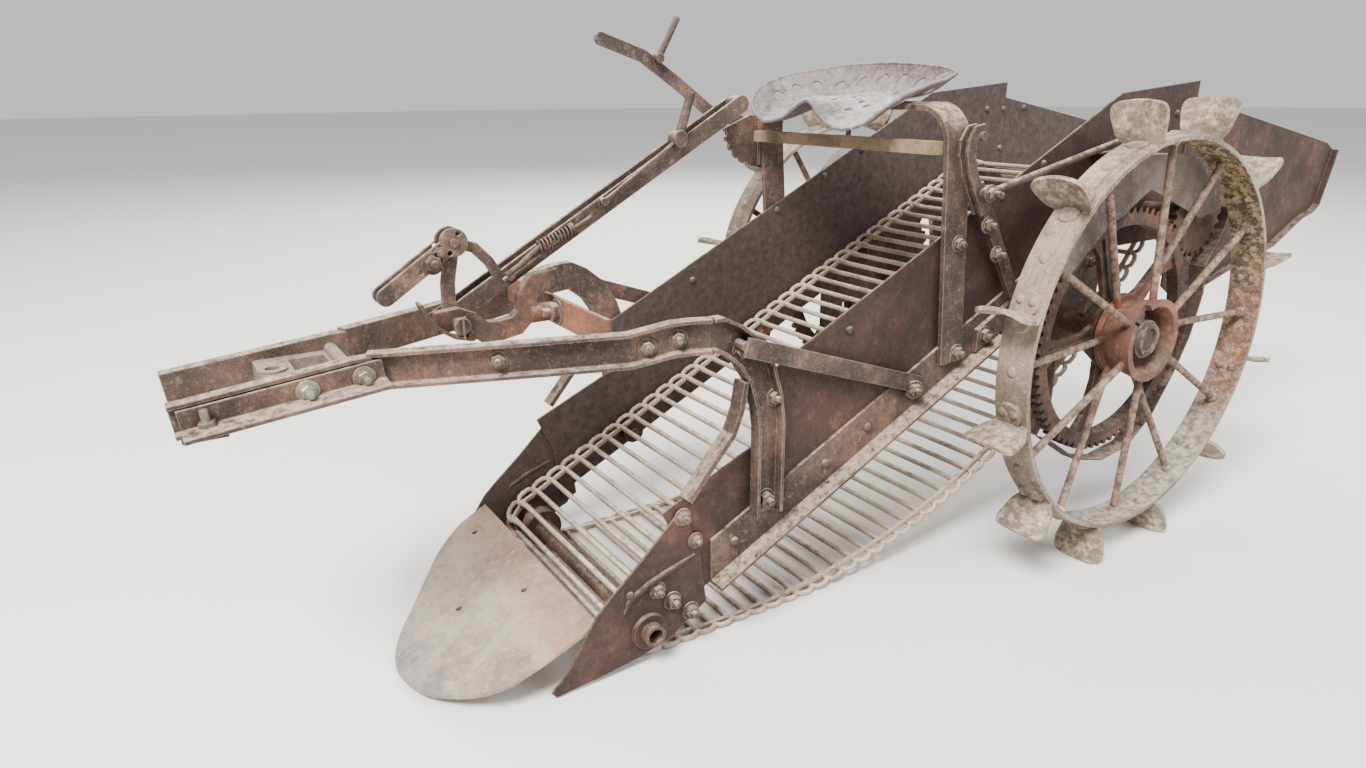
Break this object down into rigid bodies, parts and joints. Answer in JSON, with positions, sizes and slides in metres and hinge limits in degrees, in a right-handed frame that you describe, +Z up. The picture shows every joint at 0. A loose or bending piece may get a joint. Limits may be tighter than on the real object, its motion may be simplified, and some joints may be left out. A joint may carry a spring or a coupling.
{
  "type": "potato harvester",
  "caption": "Towed elevator potato harvester: a ground shovel, an inclined rod chain between side sheets, lugged iron drive wheels, draft beams, hand levers and a pan seat.",
  "frame": {"origin": "on the floor, under the middle of the bounding box", "axes": "+Z up, -Y the direction of travel, +X the machine's left side"},
  "size_m": [1.023, 2.8595, 1.1155],
  "materials": {
    "worn_steel": "scoured steel plate with a blue-grey sheen at the point",
    "seat_steel": "weathered grey pressed steel",
    "rod_steel": "pale rusted round steel rod",
    "wheel_iron": "grey-tan weathered iron",
    "hub_iron": "orange rusted casting",
    "grey_casting": "grey weathered casting",
    "tan_bar": "tan rusted bar",
    "orange_plate": "orange-brown rusted plate",
    "sheet_steel": "dark red-brown rusted sheet",
    "bar_iron": "brown rusted bar and angle iron",
    "cast_iron": "brown rusted casting"
  },
  "bodies": {
    "frame": {"shovel": "worn_steel", "nose_left": "sheet_steel", "nose_right": "sheet_steel", "sheet_left": "sheet_steel", "sheet_right": "sheet_steel", "wing_left": "sheet_steel", "wing_right": "sheet_steel", "angle_left": "bar_iron", "angle_right": "bar_iron", "beam_left": "bar_iron", "beam_right": "bar_iron", "brace_left": "bar_iron", "brace_right": "bar_iron", "strap_left": "bar_iron", "strap_right": "bar_iron", "hitch_angle": "bar_iron", "hitch_plate": "bar_iron", "hitch_casting": "grey_casting", "cross_bar": "orange_plate", "lever_bracket": "cast_iron", "shift_quadrant": "bar_iron", "seat": "seat_steel", "seat_arch": "bar_iron", "seat_crossbar": "tan_bar", "throwout": "bar_iron", "throwout_rod": "bar_iron", "axle": "cast_iron", "hanger_left": "bar_iron", "hanger_right": "bar_iron", "gear_left": "cast_iron", "gear_right": "cast_iron", "head_shaft": "cast_iron", "foot_shaft": "cast_iron", "chain_rollers": "cast_iron", "hood_left": "grey_casting", "hood_right": "grey_casting", "guard_left": "bar_iron", "guard_right": "bar_iron", "rod_chain": "rod_steel"},
    "wheel_left": {"rim_left": "wheel_iron", "hub_left": "hub_iron"},
    "wheel_right": {"rim_right": "wheel_iron", "hub_right": "hub_iron"},
    "lift_lever": {"lift_lever": "bar_iron"},
    "front_link": {"front_link": "bar_iron"},
    "shift_lever": {"shift_lever": "bar_iron"}
  },
  "joints": [
    {"name": "wheel_left_spin", "type": "hinge", "parent": "frame", "child": "wheel_left", "pos_m": [0, 0.2985, 0.47254], "axis": [1, 0, 0], "continuous": true},
    {"name": "wheel_right_spin", "type": "hinge", "parent": "frame", "child": "wheel_right", "pos_m": [0, 0.2985, 0.47254], "axis": [1, 0, 0], "continuous": true},
    {"name": "lift_lever_swing", "type": "hinge", "parent": "frame", "child": "lift_lever", "pos_m": [-0.04, -0.9935, 0.602], "axis": [1, 0, 0], "range_deg": [-8, 35]},
    {"name": "front_link_swing", "type": "hinge", "parent": "lift_lever", "child": "front_link", "pos_m": [-0.02, -0.9785, 0.731], "axis": [1, 0, 0], "range_deg": [-25, 20]},
    {"name": "shift_lever_swing", "type": "hinge", "parent": "frame", "child": "shift_lever", "pos_m": [-0.308, -0.1415, 0.884], "axis": [1, 0, 0], "range_deg": [-20, 20]}
  ]
}
